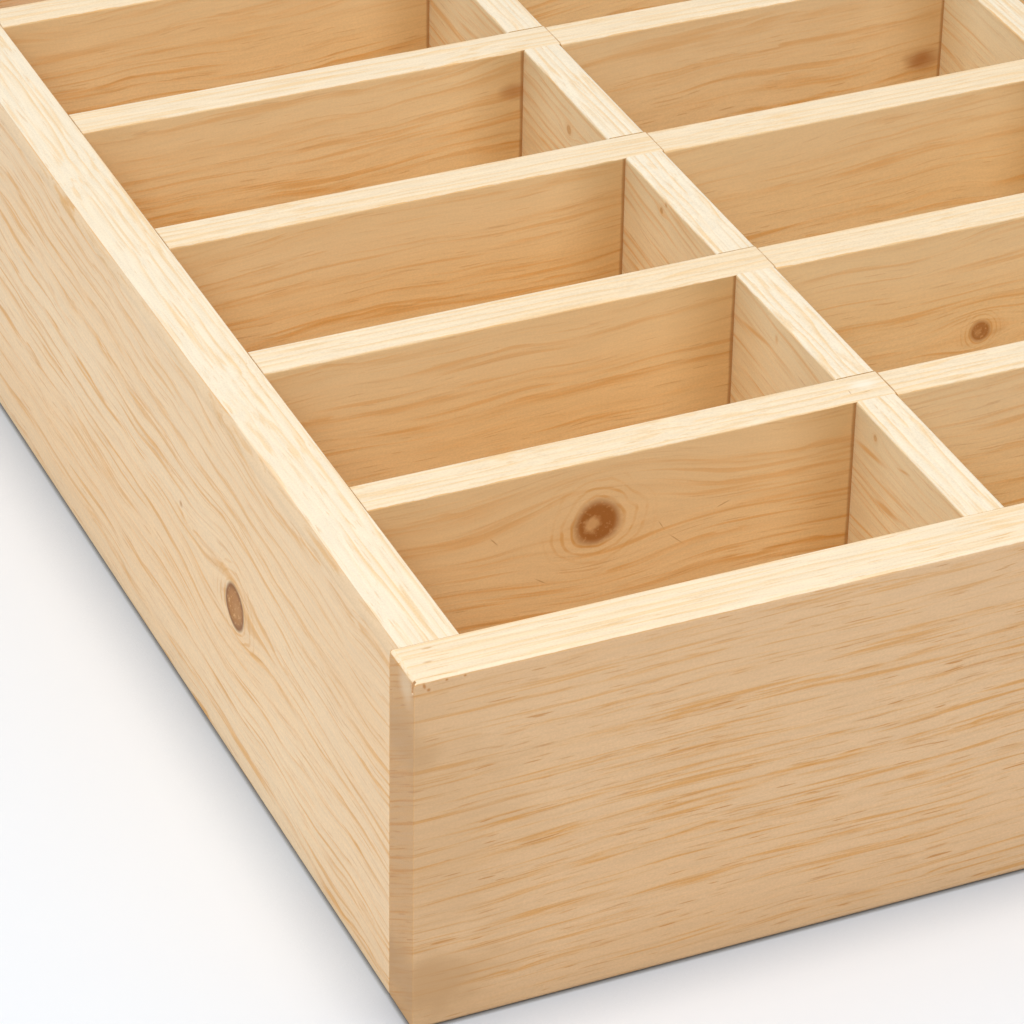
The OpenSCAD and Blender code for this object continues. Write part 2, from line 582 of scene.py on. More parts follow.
# A knot's outline, rings, rim and heart: reaches are in its radii, and the phase of its rings is per radius
KNOT_UNEVEN = 0.5
KNOT_RING_REACH = (2.9, 1.0)
KNOT_RING_PHASE = 15.0
KNOT_RING_WOBBLE = 5.0
KNOT_RING_LEVELS = (0.2, 1.0, 0.15, 0.85)
KNOT_RING_DARK = 0.25
KNOT_RIM_REACH = (0.6, 1.0)
KNOT_EDGE = (1.08, 0.94)
KNOT_SOFT_EDGE = 0.25
HEART_OFF_CENTRE = (0.22, 0.05)
HEART_REACH = (0.5, 0.15)
HEART_RAG = 0.25
# A seam's reach to both sides, the part of it that is darkest, and its faintest share
SEAM_LINE = 0.32 * MM
SEAM_CORE = 0.4
SEAM_FAINTEST = 0.35
# How steeply the lines on an end drop as they go back
END_DROP = 0.68
# Where the planed facet begins, along the arris and inward from the face
FACET_FADE = 0.8
FACET_FROM = (SIDE_EASE - 0.3 * MM, SIDE_EASE + 0.2 * MM)
# Relief and sheen of bare wood
WOOD_BUMP = 0.15
WOOD_SHEEN = 0.3
PINE_BUMP_DEPTH = 0.4 * MM
PINE_ROUGHNESS = (0.52, 0.68)
FIBRE_RELIEF = 0.7
RING_RELIEF = 0.15


class Pine(Shade):
    """Bare pine, as one solid block of wood: year rings round a pith that lies outside the board,
    fibres along the grain, resin streaks, and knots that the grain flows round."""

    def __init__(self, name, along, tones, seed, wrap):
        super().__init__(name)
        self.tones = tones
        self.seed = seed
        # Each board lies elsewhere in the noise
        self.shift = Vector((seed * 1.7, seed * 0.9, seed * 2.3))
        coord = self.node("ShaderNodeTexCoord")
        x, y, self.z = self.separate(coord.outputs["Object"])
        facing_x, self.facing_y, self.facing_z = self.separate(coord.outputs["Normal"])
        self.u, self.w = (y, x) if along == "y" else (x, y)
        endwise = self.math("ABSOLUTE", self.facing_y if along == "y" else facing_x)
        self.end = self.remap(endwise, *END_AND_SHADED_EDGE_SLOPES)
        self.wood = self.combine(self.u, self.z, self.w)
        if wrap is not None:
            self.wood = self.wrapped(wrap)

    def wrapped(self, face):
        """On the ends the lines of the outer face run on, dropping as they go back."""
        back = self.math("MULTIPLY", self.math("SUBTRACT", self.w, face), self.end)
        deep = self.math("ABSOLUTE", back)
        return self.combine(
            self.math("SUBTRACT", self.u, deep),
            self.math("MULTIPLY_ADD", deep, END_DROP, self.z),
            self.math("SUBTRACT", self.w, back))

    def field(self, name, space, shorter=1.0, finer=1.0):
        """A pattern's noise, from 0 to 1."""
        along, across, place, detail = PATTERNS[name]
        stretch = Vector((along * shorter, across * finer, across * finer))
        start = self.shift + Vector((place, place, place))
        return self.noise(self.vector("MULTIPLY_ADD", space, stretch, start), detail)

    def swing(self, name, space, width):
        """A pattern that swings to both sides."""
        return self.math("MULTIPLY_ADD", self.field(name, space), 2 * width, -width)

    def mark(self, name, space, faintest, strongest, shorter=1.0, finer=1.0):
        """A pattern that comes and goes."""
        return self.remap(self.field(name, space, shorter, finer), *LEVELS[name], faintest, strongest)

    def tint(self, share, colour, by):
        return self.mix(share, colour, self.mix(1.0, colour, by, "MULTIPLY"))

    def lay_grain(self, knots, slope):
        """The grain sways and ripples along the board, and flows round each knot."""
        grain_u, grain_z, self.grain_w = self.separate(self.wood)
        width = self.tones["sway"]
        sway = self.swing("sway", self.wood, width)
        wave = self.swing("wave", self.wood, WAVE_SHARE * width)
        ripple = self.swing("ripple", self.wood, RIPPLE_SHARE * width)
        self.drift = self.math("ADD", sway, wave)
        height = self.math("ADD", self.math("ADD", grain_z, sway), self.math("ADD", wave, ripple))
        for knot in knots:
            height = self.flow_round(knot, height)
        self.height = self.math("MULTIPLY_ADD", grain_u, -slope, height)
        self.run = self.combine(grain_u, self.height, self.grain_w)

    def flow_round(self, knot, height):
        flow_u = self.math("SUBTRACT", self.u, knot["along"])
        flow_u = self.math("DIVIDE", flow_u, FLOW_LENGTH * knot["radius"])
        flow_z = self.math("SUBTRACT", self.z, knot["height"])
        flow_z = self.math("DIVIDE", flow_z, FLOW_HEIGHT * knot["radius"])
        flow = self.vector("LENGTH", self.combine(flow_u, flow_z, 0.0))
        swell = self.math("POWER", math.e, self.math("MULTIPLY", self.math("MULTIPLY", flow, flow), -1.0))
        away = self.math("SUBTRACT", height, knot["height"])
        drawn_in = self.math("MULTIPLY", self.math("MULTIPLY", away, swell), FLOW_PULL)
        return self.math("SUBTRACT", height, drawn_in)

    def draw_rings(self, pith_z, pith_w, spacing):
        """Year rings, unevenly spaced and ragged, each with a line of late wood that comes and goes."""
        above = self.math("SUBTRACT", self.height, pith_z)
        behind = self.math("SUBTRACT", self.grain_w, pith_w)
        years = self.math("DIVIDE", self.vector("LENGTH", self.combine(0.0, above, behind)), spacing)
        uneven = self.noise(self.combine(self.math("MULTIPLY", years, UNEVEN_WAVES), self.seed, 0.0), 1.0)
        years = self.math("MULTIPLY_ADD", uneven, UNEVEN_YEARS, years)
        years = self.math("ADD", years, self.swing("ring_rag", self.run, RAGGED_YEARS))
        short, fine = self.tones["short"], self.tones["fine"]
        self.broken = self.mark("ring_breaks", self.run, FAINTEST_BREAK / short, 1.0, short, fine)
        patchy = self.mark("ring_patches", self.run, self.tones["faintest"], 1.0, self.tones["break_up"])
        late = self.ramp(self.math("FRACT", years), self.tones["rings"])
        self.late = self.math("MULTIPLY", self.math("MULTIPLY", late, patchy), self.broken)

    def draw_top_lines(self, plain):
        """Late wood as the sanded top cuts it; a side's top has none near its outer face."""
        lines = self.math("MULTIPLY_ADD", self.drift, TOP_DRIFT, self.w)
        lines = self.math("DIVIDE", lines, TOP_SPACING)
        lines = self.math("ADD", lines, self.swing("top_rag", self.run, TOP_RAG))
        late_top = self.ramp(self.math("FRACT", lines), BROAD_RINGS)
        late_top = self.math("MULTIPLY", late_top, self.mark("top_patches", self.run, TOP_FAINTEST, 1.0))
        if plain is not None:
            band = self.remap(self.inward(plain), *SIDE_PLAIN_BAND, TOP_FAINTEST, 1.0)
            late_top = self.math("MULTIPLY", late_top, band)
        self.late_top = late_top

    def draw_fine_marks(self):
        """Strokes and hairlines along the grain, short resin dashes, fibres and slow changes of tone."""
        tones = self.tones
        self.stroke = self.mark("stroke", self.run, 0.0, tones["stroke"], tones["short"], tones["fine"])
        self.hair = self.mark("hair", self.run, 0.0, tones["hair"], tones["short"])
        self.dash = self.mark("dash", self.run, 0.0, tones["dash"])
        self.cloud = self.mark("cloud", self.wood, 0.0, 1.0)
        self.fibre = self.field("fibre", self.run)
        fibre_light = self.remap(self.fibre, *FIBRE_LIGHT)
        speck_light = self.remap(self.field("speck", self.wood), *SPECK_LIGHT)
        bright = self.math("MULTIPLY", fibre_light, speck_light)
        self.bright = self.combine(bright, bright, bright)

    def inward(self, face):
        """Distance from a face of the board, through its thickness."""
        return self.math("ABSOLUTE", self.math("SUBTRACT", self.w, face))

    def coat(self, pale, warm, line, dark, rings):
        colour = self.mix(self.cloud, pale, warm)
        colour = self.mix(self.stroke, colour, line)
        colour = self.mix(rings, colour, line)
        colour = self.mix(self.hair, colour, dark)
        colour = self.mix(self.dash, colour, dark)
        return self.mix(1.0, colour, self.bright, "MULTIPLY")

    def faces(self):
        """The faces, which fade a little towards the top."""
        tones = self.tones
        colour = self.coat(tones["pale"], tones["warm"], tones["line"], tones["dark"], self.late)
        fade = self.remap(self.z, *FADE_HEIGHTS, 0.0, tones["fade"])
        return self.mix(fade, colour, tones["faded"])

    def paint_corner_shade_and_glue(self, colour, joint):
        """Painted shade, darker towards a joint, with a thin line of old glue in the corner."""
        near = self.math("MULTIPLY", self.math("SUBTRACT", self.u, joint["place"]), joint["side"])
        near = self.math("ADD", near, self.swing("glue_rag", self.wood, GLUE_RAG))
        before = self.math("GREATER_THAN", near, BEFORE_CORNER)
        corner_shade = self.math("MULTIPLY", self.remap(near, *CORNER_SHADE_REACH, 0.0, joint["strength"]), before)
        colour = self.tint(corner_shade, colour, PAINTED_CORNER_SHADE)
        glue = self.remap(near, *GLUE_REACH, 0.0, GLUE_STRENGTH * joint["glue"])
        return self.mix(self.math("MULTIPLY", glue, before), colour, GLUE)

    def spot(self, colour, stain):
        """A stain on a face, on an end or on the top."""
        across = {"side": (self.u, self.z), "end": (self.w, self.z), "top": (self.u, self.w)}[stain["face"]]
        off = [self.math("SUBTRACT", a, stain[b]) for a, b in zip(across, ("along", "height"))]
        tilt = self.node("ShaderNodeMapping", {"vector_type": "TEXTURE"}, Vector=self.combine(*off, 0.0))
        tilt.inputs["Rotation"].default_value = (0, 0, stain["turn"])
        tilt.inputs["Scale"].default_value = (stain["half_length"], stain["half_height"], 1)
        reach = self.vector("LENGTH", tilt.outputs[0])
        reach = self.math("ADD", reach, self.swing("stain_rag", self.wood, stain["ragged"]))
        share = self.remap(reach, *STAIN_REACH, 0.0, stain["strength"])
        if stain["face"] == "end":
            share = self.math("MULTIPLY", share, self.end)
        return self.mix(share, colour, stain["colour"])

    def shade_arris_and_plane_facet(self, colour, plain, facet):
        """The outer arris of a side is greyed by painted shade, which offsets the light its slope catches,
        and one side has a facet planed along it.
        """
        arris_shade = self.remap(self.facing_z, *ARRIS_SHADE_SLOPES)
        colour = self.tint(arris_shade, colour, ARRIS_SHADE)
        if facet is None:
            return colour
        apart = self.math("ABSOLUTE", self.math("SUBTRACT", self.u, facet))
        planed = self.remap(apart, FACET_REACH, FACET_FADE * FACET_REACH)
        planed = self.math("MULTIPLY", planed, self.remap(self.inward(plain), *FACET_FROM))
        return self.mix(self.math("MULTIPLY", arris_shade, planed), colour, FACET)

    def ragged_slope(self):
        """The slope of the surface, made uneven on the rounded arris, where sanding leaves a ragged line."""
        upward = self.math("MAXIMUM", self.facing_z, 0.0)
        rounded = self.math("MULTIPLY", upward, self.math("SUBTRACT", 1.0, upward))
        rounded = self.math("MULTIPLY", rounded, 4.0)
        ragged = self.swing("arris_rag", self.wood, self.tones["ragged"])
        return self.math("MULTIPLY_ADD", ragged, rounded, self.facing_z)

    def draw_seam(self, colour, seam):
        """A dark line, uneven along its length, where another board meets a top."""
        off = self.math("SUBTRACT", self.w if seam["lengthwise"] else self.u, seam["place"])
        line = self.remap(self.math("ABSOLUTE", off), SEAM_LINE, SEAM_CORE * SEAM_LINE)
        line = self.math("MULTIPLY", line, self.math("GREATER_THAN", self.u, seam["start"]))
        strength = seam["strength"]
        breaks = self.mark("seam_breaks", self.wood, SEAM_FAINTEST * strength, strength)
        return self.mix(self.math("MULTIPLY", line, breaks), colour, SEAM)

    def sand_top(self, colour, stains, seams, plain):
        """Sanded top edges are paler. The warm, darker fringe along the arris is painted shade, a shadow
        line under the rounded edge.
        """
        top_low, top_high = self.tones["top_from"]
        slope = self.ragged_slope() if plain is None else self.facing_z
        # The fringe is a painted shadow line just below where the top begins
        fringe = self.remap(slope, top_low - (SHADOW_LINE_SLOPE if plain is None else SIDE_SHADOW_LINE_SLOPE), top_low)
        fringe = self.math("MULTIPLY", fringe, self.mark("fringe", self.wood, 0.0, SHADOW_LINE_STRENGTH))
        colour = self.mix(fringe, colour, self.tones["line"])
        sanded = self.coat(*self.tones["top"], TOP_LINE, TOP_DARK, self.late_top)
        for stain in stains:
            sanded = self.spot(sanded, stain)
        for seam in seams:
            sanded = self.draw_seam(sanded, seam)
        return self.mix(self.remap(slope, top_low, top_high), colour, sanded)

    def apart(self, along, height, radius):
        """Distance from a point on a face, in radii."""
        off = self.combine(self.math("SUBTRACT", self.u, along), self.math("SUBTRACT", self.z, height), 0.0)
        return self.math("DIVIDE", self.vector("LENGTH", off), radius)

    def draw_knot(self, colour, knot):
        """A brown heart in a fringe of fine rings."""
        radius = knot["radius"]
        outline = self.field("knot_outline", self.wood)
        uneven = self.math("MULTIPLY_ADD", outline, KNOT_UNEVEN, 1 - KNOT_UNEVEN / 2)
        reach = self.math("MULTIPLY", self.apart(knot["along"], knot["height"], radius), uneven)
        wobble = self.math("MULTIPLY", self.field("knot_rings", self.wood), KNOT_RING_WOBBLE)
        ringlets = self.math("SINE", self.math("MULTIPLY_ADD", reach, KNOT_RING_PHASE, wobble))
        ringlets = self.math("MULTIPLY", self.remap(ringlets, *KNOT_RING_LEVELS), self.broken)
        fringe = self.math("MULTIPLY", self.remap(reach, *KNOT_RING_REACH), ringlets)
        ring_colour = self.mix(KNOT_RING_DARK, self.tones["line"], self.tones["dark"])
        colour = self.mix(self.math("MULTIPLY", fringe, knot["strength"]), colour, ring_colour)
        speckle = self.mark("knot_speckle", self.wood, 0.0, knot["speckle"])
        brown = self.mix(speckle, knot["colour"], KNOT_PALE)
        ahead, below = HEART_OFF_CENTRE
        heart = self.apart(knot["along"] - ahead * radius, knot["height"] - below * radius, radius)
        heart = self.math("ADD", heart, self.swing("knot_heart", self.wood, HEART_RAG))
        brown = self.mix(self.remap(heart, *HEART_REACH, 0.0, knot["heart"]), brown, KNOT_PALE)
        brown = self.mix(self.remap(reach, *KNOT_RIM_REACH, 0.0, knot["rim"]), brown, KNOT_RIM)
        outside, inside = KNOT_EDGE
        soft = KNOT_SOFT_EDGE * (1 - knot["rim"])
        share = self.remap(reach, outside + soft, inside - soft, 0.0, knot["strength"])
        return self.mix(share, colour, brown)

    def finished(self, colour):
        """The fibres and the late wood stand a little proud, and the sheen changes with the fibres."""
        fibres = self.math("MULTIPLY", self.fibre, FIBRE_RELIEF)
        relief = self.math("ADD", fibres, self.math("MULTIPLY", self.late, RING_RELIEF))
        bump = self.node("ShaderNodeBump", Strength=WOOD_BUMP, Distance=PINE_BUMP_DEPTH, Height=relief)
        roughness = self.remap(self.fibre, 0.3, 0.7, *PINE_ROUGHNESS)
        return self.surface(colour, roughness, bump.outputs[0], WOOD_SHEEN)


def pine(name, along, tones, pith, spacing, seed, knots, stains, joints, seams, inner, plain, facet, wrap):
    """One board's wood. The pith is given as its height, its depth through the board and its slope
    along the board. The front and back carry painted shade on their outer faces and ends, and are paler
    inside, where they keep the unshaded pine colour; a side's top is plain at its outer face."""
    pith_z, pith_w, slope = pith
    s = Pine(name, along, tones, seed, wrap)
    s.lay_grain(knots, slope)
    s.draw_rings(pith_z, pith_w, spacing)
    s.draw_top_lines(plain)
    s.draw_fine_marks()
    colour = s.faces()
    # Painted shade towards each corner of a compartment, and its line of glue
    for joint in joints:
        colour = s.paint_corner_shade_and_glue(colour, joint)
    # Ends: darker end grain. The tint also reaches over the eased upright edges as painted shade over their
    # highlight, and the front's and back's ends carry the painted shade of their faces
    colour = s.tint(s.end, colour, tones["end"])
    for stain in stains:
        if stain["face"] != "top":
            colour = s.spot(colour, stain)
    # The sides' outer arrises get painted shade, and the left one its planed facet
    if plain is not None:
        colour = s.shade_arris_and_plane_facet(colour, plain, facet)
    colour = s.sand_top(colour, [stain for stain in stains if stain["face"] == "top"], seams, plain)
    for knot in knots:
        colour = s.draw_knot(colour, knot)
    # The front's and back's tones carry painted shade; their inner faces get back the unshaded pine colour
    if inner:
        inside = s.remap(s.math("MULTIPLY", s.facing_y, inner), *INNER_SLOPES)
        colour = s.tint(inside, colour, UNSHADED_INSIDE_GAIN)
    return s.finished(colour)


# Plywood and beech

PLY_RINGS = [(0.0, 0.25), (0.3, 0.0), (0.8, 0.35), (0.95, 0.8), (1.0, 0.25)]
PLY_RINGS_PER_WAVE = 9.0
PLY_FIGURE_WAVES = Vector((6, 22, 400))
PLY_FIBRE_WAVES = Vector((45, 1100, 700))
PLY_PALE = (0.78, 0.60, 0.38)
PLY_DARK = (0.64, 0.45, 0.25)
BEECH_FLECK_WAVES = Vector((1300, 160, 1300))
BEECH_PALE = (0.68, 0.46, 0.27)
BEECH_DARK = (0.50, 0.30, 0.15)
FINE_BUMP_DEPTH = 0.3 * MM


def plywood(name):
    """Rotary-cut birch veneer: broad, faint figure."""
    s = Shade(name)
    coord = s.node("ShaderNodeTexCoord")
    broad = s.noise(s.vector("MULTIPLY", coord.outputs["Object"], PLY_FIGURE_WAVES), 3.0, 0.55)
    fine = s.noise(s.vector("MULTIPLY", coord.outputs["Object"], PLY_FIBRE_WAVES), 2.0)
    bands = s.math("FRACT", s.math("MULTIPLY", broad, PLY_RINGS_PER_WAVE))
    figure = s.ramp(bands, PLY_RINGS)
    colour = s.mix(figure, PLY_PALE, PLY_DARK)
    shade = s.remap(fine, 0.25, 0.75, 0.92, 1.06)
    colour = s.mix(1.0, colour, s.combine(shade, shade, shade), "MULTIPLY")
    bump = s.node("ShaderNodeBump", Strength=WOOD_BUMP, Distance=FINE_BUMP_DEPTH, Height=fine)
    return s.surface(colour, s.remap(fine, 0.3, 0.7, 0.5, 0.65), bump.outputs[0], WOOD_SHEEN)


def beech(name):
    """Turned beech: short dark flecks along the dowel."""
    s = Shade(name)
    coord = s.node("ShaderNodeTexCoord")
    fleck = s.noise(s.vector("MULTIPLY", coord.outputs["Object"], BEECH_FLECK_WAVES), 2.0)
    colour = s.mix(s.remap(fleck, 0.45, 0.7), BEECH_PALE, BEECH_DARK)
    bump = s.node("ShaderNodeBump", Strength=WOOD_BUMP, Distance=FINE_BUMP_DEPTH, Height=fleck)
    return s.surface(colour, s.remap(fleck, 0.3, 0.7, 0.45, 0.6), bump.outputs[0], WOOD_SHEEN)


# Late wood across one year: place in the year and strength
BROAD_RINGS = [(0.0, 0.2), (0.1, 0.0), (0.4, 0.0), (0.7, 0.35), (0.88, 0.85), (0.94, 1.0), (1.0, 0.6)]
FINE_RINGS = [(0.0, 0.12), (0.06, 0.0), (0.6, 0.0), (0.8, 0.25), (0.92, 0.85), (0.96, 1.0), (1.0, 0.4)]
THIN_RINGS = [(0.0, 0.1), (0.04, 0.0), (0.7, 0.0), (0.86, 0.3), (0.95, 1.0), (1.0, 0.35)]

# Colours in and on the pine
KNOT = (0.40, 0.155, 0.035)
KNOT_ON_SIDE = (0.46, 0.20, 0.055)
KNOT_PALE = (0.78, 0.47, 0.20)
SMALL_KNOT = (0.62, 0.31, 0.09)
STAIN = (0.60, 0.31, 0.11)
SHADOW = (0.56, 0.33, 0.15)
SMUDGE = (0.50, 0.29, 0.13)
PIT = (0.48, 0.20, 0.05)
PIT_ON_SIDE = (0.56, 0.25, 0.07)
TAN = (0.62, 0.30, 0.085)
CRACK = (0.50, 0.24, 0.07)
GLUE = (0.36, 0.165, 0.05)
# Painted shade in the corners of the compartments
PAINTED_CORNER_SHADE = (0.76, 0.71, 0.63)
CHIP = (0.74, 0.53, 0.32)
SEAM = (0.47, 0.24, 0.08)
FRESH = (0.95, 0.87, 0.71)
FACET = (0.90, 0.72, 0.49)
# Painted shade on the sides' outer arrises, which offsets the extra light their slope catches
ARRIS_SHADE = (0.82, 0.83, 0.85)
STREAK = (0.80, 0.44, 0.13)
KNOT_RIM = (0.20, 0.07, 0.016)
PALE_TOP = (0.925, 0.81, 0.625), (0.92, 0.78, 0.575)
WARM_TOP = (0.915, 0.76, 0.545), (0.905, 0.725, 0.49)
TOP_LINE = (0.885, 0.635, 0.355)
TOP_DARK = (0.80, 0.51, 0.24)
# Brings the front's and back's inner faces back from their painted shade to the plain pine colour
UNSHADED_INSIDE_GAIN = (1.25, 1.38, 1.5)


def tones(pale, warm, line, dark, end, faded, fade, top, top_from, sway, rings, faintest, break_up,
          stroke, hair, dash, short=1.0, fine=1.0, ragged=0.7):
    """Colours of a board's faces and top, how its ends differ from its faces (darker end grain, and on the
    front and back also painted shade in the tone of their shaded faces), how far its faces fade towards the
    top, which slopes count as top, how far its grain sways, how its rings come and go along the board, how
    strong, how short and how thin its fine marks are, and how ragged the line is where its top begins."""
    return {"pale": pale, "warm": warm, "line": line, "dark": dark, "end": end, "faded": faded,
            "fade": fade, "top": top, "top_from": top_from, "sway": sway, "rings": rings,
            "faintest": faintest, "break_up": break_up, "stroke": stroke, "hair": hair, "dash": dash,
            "short": short, "fine": fine, "ragged": ragged}


TOP_SLOPES = (0.45, 0.65)
SIDE_TOP_SLOPES = (0.984, 0.992)
SIDE_TONES = tones(
    (0.935, 0.705, 0.45), (0.92, 0.66, 0.395), (0.80, 0.43, 0.14), (0.69, 0.34, 0.10), (0.80, 0.70, 0.58),
    faded=(0.90, 0.68, 0.44), fade=0.2, top=PALE_TOP, top_from=SIDE_TOP_SLOPES,
    sway=15 * MM, rings=FINE_RINGS, faintest=0.5, break_up=9, stroke=0.7, hair=0.45, dash=0.45)
# The front and back: a copy of the pine darkened by painted shade, as their outer faces lie in shade
SHADED_FRONT_TONES = tones(
    (0.72, 0.475, 0.265), (0.695, 0.44, 0.23), (0.645, 0.32, 0.092), (0.53, 0.23, 0.052),
    (0.945, 0.865, 0.73), faded=(0.70, 0.44, 0.23), fade=0.25, top=WARM_TOP, top_from=TOP_SLOPES,
    sway=4 * MM, rings=THIN_RINGS, faintest=0.1, break_up=18, stroke=0.85, hair=0.6, dash=0.85,
    short=1.5, fine=1.7, ragged=0.15)
DIVIDER_TONES = tones(
    (0.955, 0.685, 0.35), (0.935, 0.63, 0.285), (0.83, 0.43, 0.11), (0.64, 0.30, 0.07), (0.70, 0.60, 0.45),
    faded=(0.91, 0.68, 0.40), fade=0.45, top=WARM_TOP, top_from=TOP_SLOPES,
    sway=11 * MM, rings=BROAD_RINGS, faintest=0.1, break_up=14, stroke=0.75, hair=0.45, dash=0.45)
MIDDLE_TONES = tones(
    (0.96, 0.715, 0.39), (0.94, 0.66, 0.315), (0.84, 0.455, 0.13), (0.64, 0.30, 0.07), (0.70, 0.60, 0.45),
    faded=(0.93, 0.72, 0.45), fade=0.45, top=WARM_TOP, top_from=TOP_SLOPES,
    sway=11 * MM, rings=BROAD_RINGS, faintest=0.1, break_up=14, stroke=0.75, hair=0.45, dash=0.45)
PARTITION_TONES = tones(
    (0.99, 0.83, 0.53), (0.98, 0.78, 0.46), (0.88, 0.52, 0.175), (0.68, 0.38, 0.13), (0.70, 0.60, 0.45),
    faded=(0.98, 0.825, 0.57), fade=0.3, top=PALE_TOP, top_from=TOP_SLOPES,
    sway=9 * MM, rings=BROAD_RINGS, faintest=0.15, break_up=12, stroke=0.75, hair=0.4, dash=0.4)


def knot(along, height, radius, strength=1.0, heart=0.4, speckle=0.5, rim=0.0, colour=KNOT):
    """A knot in a face: its place along the board, its height and its radius, in millimetres."""
    return {"along": along * MM, "height": height * MM, "radius": radius * MM, "strength": strength,
            "heart": heart, "speckle": speckle, "rim": rim, "colour": colour}


def stain(along, height, half_length, half_height, strength, colour=STAIN, ragged=0.7, turn=0.0,
          face="side"):
    """A mark on a face, an end or a top: its middle and its half sizes, in millimetres, how strong and
    how ragged it is, and how far it is turned, in degrees."""
    return {"along": along * MM, "height": height * MM, "half_length": half_length * MM,
            "half_height": half_height * MM, "strength": strength, "colour": colour, "ragged": ragged,
            "turn": math.radians(turn), "face": face}


def pit(along, height, half_length, half_height, turn=0.0):
    """A small dark pit in a face."""
    return stain(along, height, half_length, half_height, strength=0.9, colour=PIT, ragged=0.3, turn=turn)


def crack(along, height, half_length, turn, face="side"):
    """A short thin crack."""
    return stain(along, height, half_length, half_height=0.2, strength=0.6, colour=CRACK, ragged=0.4,
                 turn=turn, face=face)


def joint(place, side, strength, glue=0.0):
    """A corner at a place along a board, with the face on one side of it: -1 before, 1 after. Its strength
    is how much painted shade darkens that face towards it, and glue how much glue lies in it.
    """
    return {"place": place, "side": side, "strength": strength, "glue": glue}


KNOTS = {
    "left_side": [knot(-100.8, 51.2, 6.4, speckle=0.7, heart=0.15, rim=0.8, colour=KNOT_ON_SIDE)],
    "left_divider_1": [knot(-147.6, 85.1, 6.2, heart=0.8, speckle=0.3)],
    "middle_divider_2": [knot(1.3, 69.7, 3.2, 0.85)],
    "left_partition": [
        knot(-158.0, 99.3, 0.8, 0.6, heart=0.0, colour=SMALL_KNOT),
        knot(-29.8, 99.4, 0.9, 0.7, heart=0.0, colour=SMALL_KNOT),
        knot(32.1, 93.8, 1.4, 0.6, colour=SMALL_KNOT),
    ],
    "right_side": [knot(62.0, 38.0, 5.5, 0.9, colour=KNOT_ON_SIDE)],
    "back_board": [knot(-40.0, 61.0, 5.0, 0.9), knot(121.0, 33.0, 3.5, 0.8)],
    "right_divider_3": [knot(160.0, 66.0, 4.0, 0.9)],
}
STAINS = {
    "front_board": [
        stain(-229.0, 83.0, 8.0, 9.0, 0.5, SMUDGE),
        stain(-221.8, 12.0, 22.0, 11.0, 0.75, SMUDGE),
        stain(-226.0, 55.0, 34.0, 75.0, 0.3, SMUDGE),
        stain(0.0, -4.0, 600.0, 26.0, 0.12, SHADOW, 0.2),
        stain(-215.5, 100.5, 5.0, 6.0, 0.85, CHIP, 0.4, face="end"),
        stain(-220.0, -208.0, 1.6, 0.4, 0.6, face="top"),
        stain(-222.0, -213.4, 1.3, 0.4, 0.55, face="top"),
        pit(-225.9, 102.6, 0.5, 1.0, 15),
        pit(-224.8, 101.3, 0.6, 0.6),
        pit(-220.2, 103.0, 0.5, 0.4),
        pit(-215.5, 103.0, 0.5, 0.4),
    ],
    "left_side": [
        stain(-198.0, 55.0, 55.0, 90.0, 0.13, TAN, 0.2),
        stain(-61.2, 59.3, 1.5, 1.2, 0.75, PIT_ON_SIDE, 0.3),
    ],
    "middle_divider_3": [stain(0.0, 60.0, 900.0, 900.0, 0.05, TAN, 0.1)],
    "middle_divider_4": [
        stain(0.0, 60.0, 900.0, 900.0, 0.13, TAN, 0.1),
        stain(57.5, 76.0, 6.5, 4.0, 0.85, KNOT, 0.8),
    ],
    "left_divider_1": [
        stain(-140.0, 60.0, 900.0, 900.0, 0.08, TAN, 0.1),
        crack(-129.5, 79.9, 2.0, -60),
        crack(-125.2, 74.6, 3.3, -43),
        crack(-163.0, 71.0, 2.4, -35),
        crack(-112.0, 82.0, 2.2, 20),
        crack(-176.0, 86.0, 1.8, -50),
        stain(-69.5, -140.0, 5.5, 2.6, 0.8, FRESH, 0.3, face="top"),
        crack(-74.5, -142.2, 1.4, 85, "top"),
        crack(-70.3, -143.4, 2.2, 6, "top"),
    ],
    "left_divider_4": [stain(-77.5, 91.0, 6.0, 3.6, 0.55, KNOT, 0.8)],
    "left_partition": [
        stain(-156.4, 93.6, 8.5, 1.0, 0.7, STREAK, 0.5, -4.5),
        stain(-173.7, 98.3, 4.0, 0.6, 0.6, STREAK, 0.4, -13.6),
        stain(-165.7, 82.4, 8.0, 1.0, 0.7, STREAK, 0.5, -4.5),
        stain(-89.0, 92.7, 10.0, 1.0, 0.7, STREAK, 0.5, -4.6),
        stain(-101.5, 97.6, 1.2, 1.8, 0.5, STREAK, 0.4),
        stain(-32.5, 102.4, 1.0, 1.0, 0.6, SMALL_KNOT, 0.3),
    ],
}

# How much painted shade darkens a corner: at a partition, at a left divider's left end and at a divider's
# right end
PARTITION_CORNER_SHADE = 0.5
LEFT_CORNER_SHADE = 0.35
RIGHT_CORNER_SHADE = 1.0
# How dark a seam is. Those round a tongue grow fainter from row to row
SIDE_SEAM = 0.35
PARTITION_SEAM = 0.7
TONGUE_END_SEAM = 0.9
TONGUE_BACK_SEAM = 0.65


